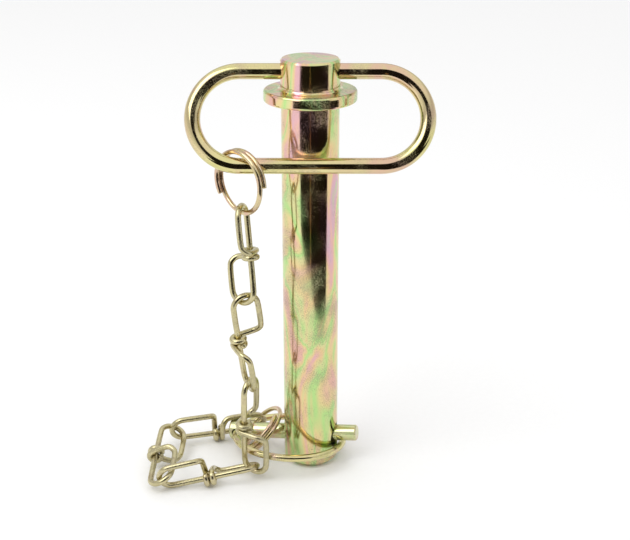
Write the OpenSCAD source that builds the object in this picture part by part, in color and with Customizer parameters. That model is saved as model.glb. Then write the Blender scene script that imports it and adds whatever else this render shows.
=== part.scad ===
// Towing pin with a folding bow handle, a captive linch pin and a knotted safety chain.
// Millimetres. The origin is the middle of the pin's lower end; +Z runs up the pin.
// The bow handle turns about an X axis through the head; the linch pin's hole is drilled askew to it.

/* [Pin] */
// Diameter of the shank
shank_d = 25; // [22:0.5:30]
// Working length, from the collar's seat to the linch pin's hole
grip_len = 160; // [150:1:200]
// Length from the linch pin's hole to the lower end
end_len = 12.8; // [12:0.1:16]
// Chamfer on the lower end
end_chamfer = 2.4; // [0.5:0.1:3]
// Diameter of the collar
collar_d = 40; // [34:0.5:42]
// Thickness of the collar
collar_t = 5; // [3:0.5:8]
// Diameter of the head above the collar
head_d = 25.5; // [20:0.5:30]
// Height of the head above the collar
head_h = 13; // [11:0.5:18]
// Bevel round the head's top edge
head_bevel = 0.8; // [0.2:0.1:1.5]
// Fillet where the head meets the collar
head_fillet = 1.5; // [0.5:0.1:2]
// Rounding of the collar's two rims
collar_round = 1; // [0.2:0.1:1.4]

/* [Handle] */
// Wire of the bow handle
handle_wire = 6.8; // [5:0.1:7.4]
// Overall width of the handle
handle_w = 106; // [90:1:120]
// Height of the handle between its two bars' centres
handle_h = 40; // [36:1:46]
// Handle pivot below the head's top
pivot_drop = 5.6; // [4.8:0.1:6.5]
// How far each end of the wire reaches into the head
handle_grip = 10.5; // [6:0.5:11]
// Running clearance on the radius in the head's hole
pivot_clear = 0.08; // [0.03:0.01:0.1]
// Gap that the lower bar keeps from the shank when it hangs
rest_gap = 0.3; // [0.2:0.1:1]

/* [Linch pin] */
// Diameter of the linch pin's shaft
linch_d = 7.5; // [6:0.1:8]
// Shaft length from the pin's axis to the tip
linch_tip = 22.5; // [19:0.5:26]
// Distance from the pin's axis to the linch pin's shoulder
linch_shoulder = 27.5; // [26:0.5:29]
// Diameter of the linch pin's head
linch_head_d = 9.5; // [9:0.5:10]
// Length of the linch pin's head
linch_head_len = 12.2; // [12:0.1:14]
// Diameter of its hole through the shank
linch_hole = 11.6; // [11:0.1:13]
// Turn of the hole about the pin, against the handle's axis
linch_yaw = -14; // [-18:1:-10]
// Rise of the linch pin towards its tip, as it hangs loose in its hole
linch_rise = 6; // [4:0.5:7]
// Countersink round both cross holes
hole_sink = 1; // [0:0.1:1.5]

/* [Snap ring] */
// Wire of the snap ring
snap_wire = 3.3; // [2.8:0.1:3.5]
// Diameter of the snap ring, to the middle of its wire
snap_d = 51; // [51:0.5:54]
// Lean of the snap ring about the linch pin's axis, front side up
snap_roll = 7.5; // [4:0.5:9]
// Droop of the snap ring towards its far side, which rests below the shaft
snap_droop = 1; // [0.5:0.5:4]
// Clearance on the radius where the snap ring passes through the linch pin's head
snap_clear = 0.4; // [0.35:0.05:0.6]

/* [Split rings] */
// Wire of the split rings
ring_wire = 2.2; // [1.6:0.1:2.4]
// Outer diameter of the upper split ring
upper_ring_d = 29; // [26:0.5:34]
// Outer diameter of the lower split ring
lower_ring_d = 27; // [26:0.5:28]
// Share of each split ring's round that is doubled
ring_overlap = 0.6; // [0.2:0.1:0.8]
// Gap between the turns of a split ring
turn_gap = 0.12; // [0.05:0.01:0.4]

/* [Chain] */
// Wire of the knotted links
link_wire = 2.7; // [2:0.1:2.9]
// Inside length of a link, from bend to bend
link_pitch = 42.3; // [40:0.1:44]
// Width of a link's loops, between wire centres
link_w = 11.6; // [11:0.1:12]
// Gap between the wire and what it is wrapped round in a knot
knot_gap = 0.1; // [0.05:0.01:0.2]
// How far a free end is wrapped round the spine, in degrees
knot_wrap = 265; // [200:5:275]

/* [Hidden] */

// Smoothness of round solids, and of the swept wires
$fn = 96;
wire_sides = 10;
bend_steps = 10;
ring_steps = 44;

// Heights up the pin
linch_z = end_len;
seat_z = linch_z + grip_len;
collar_top = seat_z + collar_t;
top_z = collar_top + head_h;
pivot_z = top_z - pivot_drop;

// The handle leans forward until its lower bar hangs against the shank
handle_reach = shank_d / 2 + handle_wire / 2 + rest_gap;
handle_lean = asin(handle_reach / handle_h);
bar_half = handle_w / 2 - handle_wire / 2 - handle_h / 2;
bar_y = -handle_h * sin(handle_lean);
bar_z = pivot_z - handle_h * cos(handle_lean);

// Upper split ring: it hangs askew on the lower bar, where the bar starts to bend
upper_ring_r = (upper_ring_d - ring_wire) / 2;
upper_ring_at = [-bar_half, bar_y, bar_z + (handle_wire + ring_wire) / 2 + 1.75 - upper_ring_r];
upper_ring_normal = [-134, 0];

// Lower split ring: it hangs round the linch pin's shaft, with its lower side near the ground
lower_ring_at = [-23.6, 5.3, 11.25];
lower_ring_normal = [-0.4, -41.5];

// Linch pin: where the snap ring goes through its head, measured from the pin's axis
snap_pivot = linch_shoulder + linch_head_len - snap_wire / 2 - 1.75;

// A link's bends lie this far above and below its knot, for a true inside length at any twist
function bend_rise(twist) = sqrt(pow(link_pitch + link_wire, 2) - pow(link_w * sin(twist / 2), 2)) / 2;

// How each link lies, from the top one: azimuth and elevation of its length, roll about it,
// and the twist between its two loops
link_poses = [
    [4.5, -89.7, -105.5, -106.9],
    [-12.8, -87.3, 21.8, -86.7],
    [-68.6, -83.6, 63, -91.3],
    [-166.7, -1, -22, 127.4],
    [87.7, 4.5, 27.7, -48.8],
    [10.3, 1.6, -106.4, -11.4]
];

// Where each link's first bend lies from the last one's bend: back along that link, and along itself
link_hooks = [[1.73, 1.73], [2.01, 1.99], [2.74, 1.01], [0.47, 3.06], [2.78, 0.69]];

// The first bend hangs over the upper split ring's lower side
chain_top = upper_ring_at + [0.3, -0.1, (ring_wire + link_wire) / 2 + 0.6 - upper_ring_r];

function heading(az, el) = [cos(el) * cos(az), cos(el) * sin(az), sin(el)];
function link_way(i) = heading(link_poses[i][0], link_poses[i][1]);
function first_bend(i) =
    i == 0 ? chain_top
           : last_bend(i - 1) - link_hooks[i - 1][0] * link_way(i - 1) - link_hooks[i - 1][1] * link_way(i);
function last_bend(i) = first_bend(i) + (link_pitch + link_wire) * link_way(i);

// ---- Swept wire ----

function unit(v) = v / norm(v);
function rejected(v, axis) = v - (v * axis) * axis;

// Directions along a list of points, meeting halfway at each corner
function tangents(path) = [
    for (i = [0 : len(path) - 1])
        i == 0 ? unit(path[1] - path[0])
        : i == len(path) - 1 ? unit(path[i] - path[i - 1])
        : unit(unit(path[i + 1] - path[i]) + unit(path[i] - path[i - 1]))
];

// Cross directions carried along the path without twist
function carried(dirs, first) = [
    for (i = 0, side = unit(rejected(first, dirs[0]));
         i < len(dirs);
         i = i + 1, side = i < len(dirs) ? unit(rejected(side, dirs[i])) : side)
        side
];

module wire(path, d, first = [0.31, 0.17, 0.9]) {
    dirs = tangents(path);
    sides = carried(dirs, first);
    n = wire_sides;
    last = len(path) - 1;
    points = [
        for (i = [0 : last])
            for (k = [0 : n - 1])
                path[i] + d / 2 * (cos(k * 360 / n) * sides[i]
                                   + sin(k * 360 / n) * cross(dirs[i], sides[i]))
    ];
    walls = [
        for (i = [0 : last - 1])
            for (k = [0 : n - 1])
                [i * n + k, (i + 1) * n + k, (i + 1) * n + (k + 1) % n, i * n + (k + 1) % n]
    ];
    caps = [[for (k = [0 : n - 1]) k], [for (k = [n - 1 : -1 : 0]) last * n + k]];
    polyhedron(points, concat(walls, caps), convexity = 10);
}

// ---- Pin body ----

function arc(cx, cy, r, from, to, steps) = [
    for (i = [0 : steps]) let (a = from + (to - from) * i / steps) [cx + r * cos(a), cy + r * sin(a)]
];

module pin_blank() {
    shank_r = shank_d / 2;
    head_r = head_d / 2;
    collar_r = collar_d / 2;
    rotate_extrude()
        polygon(concat(
            [[0, 0], [shank_r - end_chamfer, 0], [shank_r, end_chamfer], [shank_r, seat_z]],
            arc(collar_r - collar_round, seat_z + collar_round, collar_round, -90, 0, 4),
            arc(collar_r - collar_round, collar_top - collar_round, collar_round, 0, 90, 4),
            arc(head_r + head_fillet, collar_top + head_fillet, head_fillet, 270, 180, 5),
            [[head_r, top_z - head_bevel], [head_r - head_bevel, top_z], [0, top_z]]
        ));
}

// A hole across the pin, countersunk where it comes out of a body of diameter across
module cross_hole(d, across) {
    rotate([0, 90, 0]) cylinder(d = d, h = across + 4, center = true);
    for (side = [-1, 1])
        scale([side, 1, 1])
            translate([across / 2 - hole_sink, 0, 0])
                rotate([0, 90, 0]) cylinder(d1 = d, d2 = d + 4 * hole_sink, h = 2 * hole_sink);
}

module pin_body() {
    color("darkkhaki")
        difference() {
            pin_blank();
            translate([0, 0, pivot_z]) cross_hole(handle_wire + 2 * pivot_clear, head_d);
            translate([0, 0, linch_z]) rotate([0, 0, linch_yaw]) cross_hole(linch_hole, shank_d);
        }
}

// ---- Handle ----

// Half of the bow, hanging straight down from its pivot
module half_bow() {
    rise = handle_h / 2;
    start = head_d / 2 - handle_grip;
    translate([start, 0, 0]) rotate([0, 90, 0]) cylinder(d = handle_wire, h = bar_half - start);
    translate([bar_half, 0, -rise])
        rotate([90, 0, 0])
            rotate([0, 0, -90])
                rotate_extrude(angle = 180) translate([rise, 0]) circle(d = handle_wire);
}

module handle() {
    color("goldenrod")
        translate([0, 0, pivot_z])
            rotate([-handle_lean, 0, 0]) {
                half_bow();
                mirror([1, 0, 0]) half_bow();
                translate([-bar_half, 0, -handle_h])
                    rotate([0, 90, 0]) cylinder(d = handle_wire, h = 2 * bar_half);
            }
}

// ---- Split rings ----

// A split ring's wire: a flat turn, a crossing to the next layer, and the doubled part again
function split_path(r, from) =
    let (pitch = ring_wire + turn_gap)
    [
        for (i = [0 : round((1 + ring_overlap) * ring_steps)])
            let (
                turn = i / ring_steps,
                t = min(1, max(0, (turn - ring_overlap) / (1 - ring_overlap))),
                a = from + 360 * turn
            )
                [r * cos(a), r * sin(a), pitch * (t * t * (3 - 2 * t) - 0.5)]
    ];

module split_ring(outer_d, at, normal, from) {
    ez = heading(normal[0], normal[1]);
    ex = unit(rejected([0, 0, 1], ez));
    ey = cross(ez, ex);
    flat = split_path((outer_d - ring_wire) / 2, from);
    wire([for (p = flat) at + p[0] * ex + p[1] * ey + p[2] * ez], ring_wire, ex);
}

module upper_split_ring() {
    color("tan") split_ring(upper_ring_d, upper_ring_at, upper_ring_normal, -90);
}

module lower_split_ring() {
    color("tan") split_ring(lower_ring_d, lower_ring_at, lower_ring_normal, 19);
}

// ---- Knotted chain links ----

// One loop of a link: from the spine over the bend and back, then wrapped round the spine.
// The loop stands in the local XZ plane, bend upwards; the spine is the local Z axis.
function loop_half(twist) =
    let (
        r = link_w / 2,
        top = bend_rise(twist),
        wrap_r = link_wire + knot_gap,
        wrap_z = (link_wire + knot_gap) / 2 + 0.05,
        hook_r = 4,
        over = [
            for (i = [0 : bend_steps])
                let (a = 180 - 180 * i / bend_steps)
                    [r + r * cos(a), 0, top - r + r * sin(a)]
        ],
        hook = [
            for (i = [0 : 4])
                let (a = 90 * i / 4, s = sin(a))
                    [link_w - hook_r + hook_r * cos(a), wrap_r * s * s, wrap_z + hook_r - hook_r * s]
        ],
        wrap = [
            for (i = [0 : 10])
                let (a = 90 + knot_wrap * i / 10)
                    [wrap_r * cos(a), wrap_r * sin(a), wrap_z]
        ]
    )
    concat(over, hook, wrap);

// The lower loop is the upper one turned half round about the line between their two planes
function under(p, twist) =
    [p[0] * cos(twist) + p[1] * sin(twist), p[0] * sin(twist) - p[1] * cos(twist), -p[2]];
function backwards(list) = [for (i = [len(list) - 1 : -1 : 0]) list[i]];
function link_path(twist) =
    let (upper = loop_half(twist))
    concat(backwards([for (p = upper) under(p, twist)]), upper);

// Lays a link from its first bend along its own way
module chain_link(i) {
    roll = link_poses[i][2];
    twist = link_poses[i][3];
    crown = [link_w / 2, 0, bend_rise(twist)];
    own_z = unit(crown - under(crown, twist));
    own_x = unit(rejected([1, 0, 0], own_z));
    own_y = cross(own_z, own_x);
    up = -link_way(i);
    level = unit(rejected(abs(up[0]) > 0.7 ? [0, 1, 0] : [1, 0, 0], up));
    to_x = cos(roll) * level + sin(roll) * cross(up, level);
    to_y = cross(up, to_x);
    color("darkkhaki")
        wire([
            for (p = link_path(twist))
                let (q = p - crown)
                    first_bend(i) + (q * own_x) * to_x + (q * own_y) * to_y + (q * own_z) * up
        ], link_wire, to_y);
}

// ---- Linch pin and snap ring ----

module along_linch() {
    translate([0, 0, linch_z]) rotate([0, 90 - linch_rise, linch_yaw]) children();
}

// The snap ring's own frame, its middle at the origin and the linch pin's head towards -X
module at_snap_ring() {
    translate([0, 0, linch_z] - snap_pivot * heading(linch_yaw, linch_rise))
        rotate([-snap_roll, snap_droop, linch_yaw])
            translate([snap_d / 2, 0, 0]) children();
}

module linch_pin() {
    tip_bevel = 0.6;
    shoulder_r = 1;
    head_r = linch_head_d / 2;
    shaft_r = linch_d / 2;
    head_end = -linch_shoulder - linch_head_len;
    ring_r = snap_d / 2;
    bow = ring_r - sqrt(ring_r * ring_r - head_r * head_r);
    color("darkkhaki")
        difference() {
            along_linch()
                rotate_extrude()
                    polygon(concat(
                        [[0, head_end]],
                        arc(head_r - shoulder_r, head_end + shoulder_r, shoulder_r, -90, 0, 4),
                        arc(head_r - shoulder_r, -linch_shoulder - shoulder_r, shoulder_r, 0, 90, 4),
                        [[shaft_r, -linch_shoulder], [shaft_r, linch_tip - tip_bevel]],
                        [[shaft_r - tip_bevel, linch_tip], [0, linch_tip]]
                    ));
            at_snap_ring()
                translate([bow / 2 - ring_r, 0, 0])
                    rotate([90, 0, 0])
                        cylinder(d = snap_wire + 2 * snap_clear, h = 2 * linch_head_d, center = true);
        }
}

module snap_ring() {
    color("goldenrod")
        at_snap_ring() rotate_extrude() translate([snap_d / 2, 0]) circle(d = snap_wire);
}

pin_body();
handle();
upper_split_ring();
chain_link(0);  // chain_link_1
chain_link(1);  // chain_link_2
chain_link(2);  // chain_link_3
chain_link(3);  // chain_link_4
chain_link(4);  // chain_link_5
chain_link(5);  // chain_link_6
lower_split_ring();
linch_pin();
snap_ring();
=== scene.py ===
import math

import bpy
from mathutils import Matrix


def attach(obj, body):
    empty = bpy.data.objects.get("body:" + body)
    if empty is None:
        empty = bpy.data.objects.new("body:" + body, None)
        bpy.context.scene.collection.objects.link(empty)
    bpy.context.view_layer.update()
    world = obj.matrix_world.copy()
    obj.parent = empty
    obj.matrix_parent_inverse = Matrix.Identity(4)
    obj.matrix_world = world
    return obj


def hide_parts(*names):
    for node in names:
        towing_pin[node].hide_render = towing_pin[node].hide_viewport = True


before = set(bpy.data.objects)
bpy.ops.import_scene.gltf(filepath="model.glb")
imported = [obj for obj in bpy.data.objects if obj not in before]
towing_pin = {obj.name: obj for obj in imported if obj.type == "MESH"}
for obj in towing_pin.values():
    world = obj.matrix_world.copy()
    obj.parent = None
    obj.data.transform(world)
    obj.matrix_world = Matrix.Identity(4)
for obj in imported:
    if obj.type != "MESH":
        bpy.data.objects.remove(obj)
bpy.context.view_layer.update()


# Camera. It stands half a metre in front of the pin and a hand's width above its head,
# and looks a little down, as one looks at a part set on a table.
CAMERA_PLACE = (0.002, -0.492, 0.291)
LOOKS_DOWN = math.radians(21.7)
SENSOR_MM = 36
LENS_MM = 67.43

bpy.ops.object.select_all(action="DESELECT")
bpy.ops.object.camera_add(location=CAMERA_PLACE, rotation=(math.radians(90) - LOOKS_DOWN, 0, 0))
camera = bpy.context.object
camera.data.sensor_width = SENSOR_MM
camera.data.lens = LENS_MM
bpy.context.scene.camera = camera
bpy.context.scene.view_settings.view_transform = "Standard"


# Pin. Shank, collar and head are turned from one steel bar, then zinc plated and dipped in yellow
# chromate. The film's thickness varies, so the gloss runs from straw through green to rose, in long
# runs down the shank where the dip drained off.
def linear(hex_colour):
    channels = [int(hex_colour[i:i + 2], 16) / 255 for i in (1, 3, 5)]
    return [c / 12.92 if c <= 0.04045 else ((c + 0.055) / 1.055) ** 2.4 for c in channels] + [1]


def add(tree, kind, inputs=None, **settings):
    made = tree.nodes.new(kind)
    for name, value in settings.items():
        setattr(made, name, value)
    for name, value in (inputs or {}).items():
        if isinstance(value, bpy.types.NodeSocket):
            tree.links.new(value, made.inputs[name])
        else:
            made.inputs[name].default_value = value
    return made


def film_colours(tree, thickness, stops):
    ramp = add(tree, "ShaderNodeValToRGB", {"Fac": thickness})
    for at, colour in stops[1:-1]:
        ramp.color_ramp.elements.new(at)
    for element, (at, colour) in zip(ramp.color_ramp.elements, stops):
        element.position = at
        element.color = linear(colour)
    return ramp


BLOOM_GREY = "#8f8d76"
SPECKLE_MM = 0.5
CLOUD_MM = 14
SCRATCH_WIDTH_MM = 0.25
SCRATCH_LENGTH_MM = 2.4


def passivated_zinc(name, patch_mm, run_mm, stops, gloss, bloom, scratch_um, seed):
    """Bright zinc under a yellow chromate film: patches of film colour, fine bloom and light scratches.

    patch_mm and run_mm are the width and height of a patch, stops its colours from thin film to thick,
    gloss the roughness of clean and of bloomed metal, bloom how far the bloom covers, from 0 to 1.
    """
    material = bpy.data.materials.new(name)
    material.use_nodes = True
    tree = material.node_tree
    shader = tree.nodes["Principled BSDF"]
    shader.inputs["Metallic"].default_value = 1.0
    place = add(tree, "ShaderNodeTexCoord")
    runs = add(tree, "ShaderNodeMapping", {
        "Vector": place.outputs["Object"], "Location": (seed, seed * 1.7, seed * 0.6),
        "Scale": (1000 / patch_mm, 1000 / patch_mm, 1000 / run_mm)})
    film = add(tree, "ShaderNodeTexNoise", {
        "Vector": runs.outputs["Vector"], "Scale": 1.0, "Detail": 3.0, "Roughness": 0.5,
        "Distortion": 0.9})
    colour = film_colours(tree, film.outputs["Fac"], stops)
    # The bloom is a fine grey speckle that gathers in clouds and dulls the film here and there.
    speckle = add(tree, "ShaderNodeTexNoise", {
        "Vector": place.outputs["Object"], "Scale": 1000 / SPECKLE_MM, "Detail": 3.0, "Roughness": 0.65})
    clouds = add(tree, "ShaderNodeTexNoise", {
        "Vector": place.outputs["Object"], "Scale": 1000 / CLOUD_MM, "Detail": 2.0, "Roughness": 0.5})
    dulled = add(tree, "ShaderNodeMath", {
        0: speckle.outputs["Fac"], 1: clouds.outputs["Fac"]}, operation="MULTIPLY")
    amount = add(tree, "ShaderNodeMapRange", {
        "Value": dulled.outputs["Value"], "From Min": 0.22, "From Max": 0.42,
        "To Min": 0.0, "To Max": bloom})
    bloomed = add(tree, "ShaderNodeMix", data_type="RGBA", blend_type="MIX")
    tree.links.new(amount.outputs["Result"], bloomed.inputs["Factor"])
    tree.links.new(colour.outputs["Color"], bloomed.inputs[6])
    bloomed.inputs[7].default_value = linear(BLOOM_GREY)
    tree.links.new(bloomed.outputs[2], shader.inputs["Base Color"])
    rough = add(tree, "ShaderNodeMapRange", {
        "Value": dulled.outputs["Value"], "From Min": 0.12, "From Max": 0.42,
        "To Min": gloss[0], "To Max": gloss[1]})
    tree.links.new(rough.outputs["Result"], shader.inputs["Roughness"])
    # Where the bloom is thickest it is chalky, and mirrors less than the bare metal.
    chalk = add(tree, "ShaderNodeMapRange", {
        "Value": dulled.outputs["Value"], "From Min": 0.26, "From Max": 0.42,
        "To Min": 1.0, "To Max": 1.0 - bloom})
    tree.links.new(chalk.outputs["Result"], shader.inputs["Metallic"])
    # Handling scratches are short and fine, and lie slanted to the bar.
    slant = add(tree, "ShaderNodeMapping", {
        "Vector": place.outputs["Object"], "Rotation": (0.5, 0.7, 0.4),
        "Scale": (1000 / SCRATCH_WIDTH_MM, 1000 / SCRATCH_WIDTH_MM, 1000 / SCRATCH_LENGTH_MM)})
    scratch = add(tree, "ShaderNodeTexNoise", {
        "Vector": slant.outputs["Vector"], "Scale": 1.0, "Detail": 2.0})
    relief = add(tree, "ShaderNodeBump", {
        "Strength": 1.0, "Distance": scratch_um * 1e-6, "Height": scratch.outputs["Fac"]})
    tree.links.new(relief.outputs["Normal"], shader.inputs["Normal"])
    return material


def dress(node_name, material):
    for slot in towing_pin[node_name].material_slots:
        slot.material = material


DIPPED_SHANK = [
    (0.0, "#e2b0a2"), (0.34, "#e4b5a6"), (0.41, "#e3cf97"), (0.455, "#b3da8c"), (0.50, "#d6d59a"),
    (0.54, "#e6c996"), (0.59, "#e2b3ae"), (0.66, "#d6afbd"), (0.73, "#b4d88e"), (1.0, "#cdd6a2")]
turned_zinc = passivated_zinc(
    "passivated_zinc_on_turned_bar", patch_mm=19, run_mm=48, stops=DIPPED_SHANK,
    gloss=(0.05, 0.26), bloom=0.6, scratch_um=5, seed=0.31)
dress("pin_body", turned_zinc)


# Handle. One length of steel wire bent to a long bow, its two ends sprung into the head. It took the
# same dip, but wire drains cleanly, so it stays a brighter and more even straw, with a little green.
DIPPED_WIRE = [
    (0.0, "#c9cf8c"), (0.36, "#d3cb8b"), (0.46, "#ded49a"), (0.56, "#d9c79a"), (0.66, "#dcb9a0"),
    (1.0, "#bfcf8a")]
bow_zinc = passivated_zinc(
    "passivated_zinc_on_bow_wire", patch_mm=22, run_mm=30, stops=DIPPED_WIRE,
    gloss=(0.07, 0.18), bloom=0.35, scratch_um=3, seed=0.77)
dress("handle", bow_zinc)


# Split rings. Each is a little over one and a half turns of spring wire, one round the handle and one
# round the linch pin, sprung open to take the chain. Their film is thin: straw with a breath of rose.
SPRING_WIRE_MM = 2.2
MERGE_M = 2e-6
LOST_IN_ROUNDING = 0.064


def smooth_wire(node_name, piece_name, body, material, wire_mm):
    """A rounded copy of a ten-sided wire, shown in its place."""
    bpy.ops.object.select_all(action="DESELECT")
    source = towing_pin[node_name]
    piece = bpy.data.objects.new(piece_name, source.data.copy())
    bpy.context.scene.collection.objects.link(piece)
    piece.data.materials.clear()
    piece.data.materials.append(material)
    bpy.context.view_layer.objects.active = piece
    piece.select_set(True)
    bpy.ops.object.mode_set(mode="EDIT")
    bpy.ops.mesh.select_all(action="SELECT")
    bpy.ops.mesh.remove_doubles(threshold=MERGE_M)
    bpy.ops.mesh.tris_convert_to_quads(face_threshold=math.radians(50), shape_threshold=math.radians(60))
    # Rounding a ten-sided wire thins it by a sixteenth, so it is swelled by that much first.
    bpy.ops.transform.shrink_fatten(value=wire_mm / 2000 * LOST_IN_ROUNDING)
    bpy.ops.object.mode_set(mode="OBJECT")
    rounding = piece.modifiers.new("rounding", "SUBSURF")
    rounding.levels = rounding.render_levels = 1
    bpy.ops.object.modifier_apply(modifier=rounding.name)
    bpy.ops.object.shade_smooth()
    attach(piece, body)
    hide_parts(node_name)


SPRING_FILM = [
    (0.0, "#cbb98a"), (0.40, "#d3c493"), (0.52, "#d9c3a0"), (0.62, "#d6b39c"), (1.0, "#c2c48c")]
ring_zinc = passivated_zinc(
    "passivated_zinc_on_spring_wire", patch_mm=8, run_mm=8, stops=SPRING_FILM,
    gloss=(0.08, 0.2), bloom=0.3, scratch_um=2, seed=0.12)
for ring in ("upper_split_ring", "lower_split_ring"):
    smooth_wire(ring, ring + "_wire", ring, ring_zinc, SPRING_WIRE_MM)


# Chain. Six links of soft steel wire, each knotted by machine: the wire's tail is wrapped round the neck
# of its own loop. Barrel plating and rubbing leave the film olive and duller than on the pin.
CHAIN_WIRE_MM = 2.7
RUBBED_FILM = [
    (0.0, "#b7ae88"), (0.38, "#c3b990"), (0.50, "#d0c69b"), (0.60, "#c7bb97"), (0.70, "#b3a582"),
    (1.0, "#d6cea4")]
chain_zinc = passivated_zinc(
    "barrel_plated_zinc_on_chain_wire", patch_mm=5, run_mm=5, stops=RUBBED_FILM,
    gloss=(0.17, 0.36), bloom=0.5, scratch_um=6, seed=0.53)
for number in range(1, 7):
    link = f"chain_link_{number}"
    smooth_wire(link, f"knotted_link_{number}", link, chain_zinc, CHAIN_WIRE_MM)


# Linch pin. A turned pin with a shoulder and a drilled head; it goes through the shank's cross hole.
# The film is greener on it than on the wires.
GREEN_FILM = [
    (0.0, "#b9cc90"), (0.40, "#c6d099"), (0.50, "#d6d2a0"), (0.60, "#d8bfa6"), (1.0, "#b4ca8c")]
linch_zinc = passivated_zinc(
    "passivated_zinc_on_linch_pin", patch_mm=7, run_mm=9, stops=GREEN_FILM,
    gloss=(0.12, 0.26), bloom=0.45, scratch_um=4, seed=0.44)
dress("linch_pin", linch_zinc)


# Snap ring. Spring wire bent to a ring, sprung through the linch pin's head. It closes round the shank
# and keeps the linch pin in. Straw and green like the handle.
snap_zinc = passivated_zinc(
    "passivated_zinc_on_snap_ring", patch_mm=10, run_mm=10, stops=DIPPED_WIRE,
    gloss=(0.08, 0.2), bloom=0.4, scratch_um=3, seed=0.9)
dress("snap_ring", snap_zinc)


# Floor. A sheet of matt white paper, wide enough to fill every view. Its grain is just felt as a slight
# change of tone.
FLOOR_SIZE = 16
PAPER_GRAINS_PER_M = 400

bpy.ops.object.select_all(action="DESELECT")
bpy.ops.mesh.primitive_plane_add(size=FLOOR_SIZE, location=(0, 0, 0))
floor = bpy.context.object
floor.name = "paper_floor"
paper = bpy.data.materials.new("matt_white_paper")
paper.use_nodes = True
paper_shader = paper.node_tree.nodes["Principled BSDF"]
paper_shader.inputs["Roughness"].default_value = 0.9
paper_shader.inputs["Specular IOR Level"].default_value = 0.1
on_paper = add(paper.node_tree, "ShaderNodeTexCoord")
grain = add(paper.node_tree, "ShaderNodeTexNoise", {
    "Vector": on_paper.outputs["Object"], "Scale": PAPER_GRAINS_PER_M})
PAPER_WHITES = [(0.0, "#fbfbfb"), (0.5, "#fdfdfd"), (1.0, "#ffffff")]
tone = film_colours(paper.node_tree, grain.outputs["Fac"], PAPER_WHITES)
paper.node_tree.links.new(tone.outputs["Color"], paper_shader.inputs["Base Color"])
floor.data.materials.append(paper)


# Studio cloth. Black cloth lies on the table below the camera and hangs behind it. Only gloss sees it: it
# draws the dark run down the middle of the shank and along the wires. A narrow slit in it, with brown
# ground below, draws the hairline within that run.
def studio_cloth(name, corners, hex_colour):
    bpy.ops.object.select_all(action="DESELECT")
    bpy.ops.mesh.primitive_circle_add(vertices=len(corners), radius=1, fill_type="NGON", location=(0, 0, 0))
    cloth = bpy.context.object
    cloth.name = name
    for corner, place in zip(cloth.data.vertices, corners):
        corner.co = place
    weave = bpy.data.materials.new(name)
    weave.use_nodes = True
    weave_shader = weave.node_tree.nodes["Principled BSDF"]
    weave_shader.inputs["Base Color"].default_value = linear(hex_colour)
    weave_shader.inputs["Roughness"].default_value = 1.0
    weave_shader.inputs["Specular IOR Level"].default_value = 0.0
    cloth.data.materials.append(weave)
    cloth.visible_camera = False
    cloth.visible_diffuse = False
    cloth.visible_shadow = False


CLOTH_BLACK = "#1c1813"
SLIT_BROWN = "#b08a5c"
studio_cloth("black_cloth_on_table", [
    (0.06, -0.185, 0.001), (0.0, -0.25, 0.001), (-0.21, -0.27, 0.001), (-0.50, -0.55, 0.001),
    (-0.90, -2.0, 0.001), (2.2, -2.0, 0.001), (2.2, -0.60, 0.001), (0.17, -0.085, 0.001)], CLOTH_BLACK)
studio_cloth("black_cloth_behind", [
    (-0.90, -2.0, 0.0), (2.2, -2.0, 0.0), (2.2, -2.0, 1.9), (-0.90, -2.0, 1.9)], CLOTH_BLACK)
studio_cloth("slit_in_cloth", [
    (-0.003, -0.26, 0.002), (0.004, -0.26, 0.002), (0.016, -1.9, 0.002), (-0.008, -1.9, 0.002)],
    SLIT_BROWN)


# Light. An even white tent all round, a little greyer at the height that the flat tops mirror, with one
# wide soft lamp from the upper left.
TENT_STRENGTH = 1.04
LAMP_WATTS = 5
LAMP_SIZE = 0.9
TENT_GREYS = [(0.0, "#ffffff"), (0.28, "#d6d6d6"), (0.48, "#cfcfcf"), (0.70, "#ffffff"), (1.0, "#ffffff")]

tent = bpy.data.worlds.new("white_tent")
bpy.context.scene.world = tent
tent.use_nodes = True
sky = tent.node_tree
around = add(sky, "ShaderNodeTexCoord")
axes = add(sky, "ShaderNodeSeparateXYZ", {"Vector": around.outputs["Generated"]})
height = film_colours(sky, axes.outputs["Z"], TENT_GREYS)
seen = add(sky, "ShaderNodeLightPath")
backdrop = add(sky, "ShaderNodeMix", data_type="RGBA", blend_type="MIX")
sky.links.new(seen.outputs["Is Camera Ray"], backdrop.inputs["Factor"])
sky.links.new(height.outputs["Color"], backdrop.inputs[6])
backdrop.inputs[7].default_value = linear("#ffffff")
sky.links.new(backdrop.outputs[2], sky.nodes["Background"].inputs["Color"])
sky.nodes["Background"].inputs["Strength"].default_value = TENT_STRENGTH
bpy.ops.object.light_add(
    type="AREA", location=(-0.7, -0.5, 1.1), rotation=(math.radians(38), 0, math.radians(-52)))
lamp = bpy.context.object
lamp.data.shape = "SQUARE"
lamp.data.size = LAMP_SIZE
lamp.data.energy = LAMP_WATTS
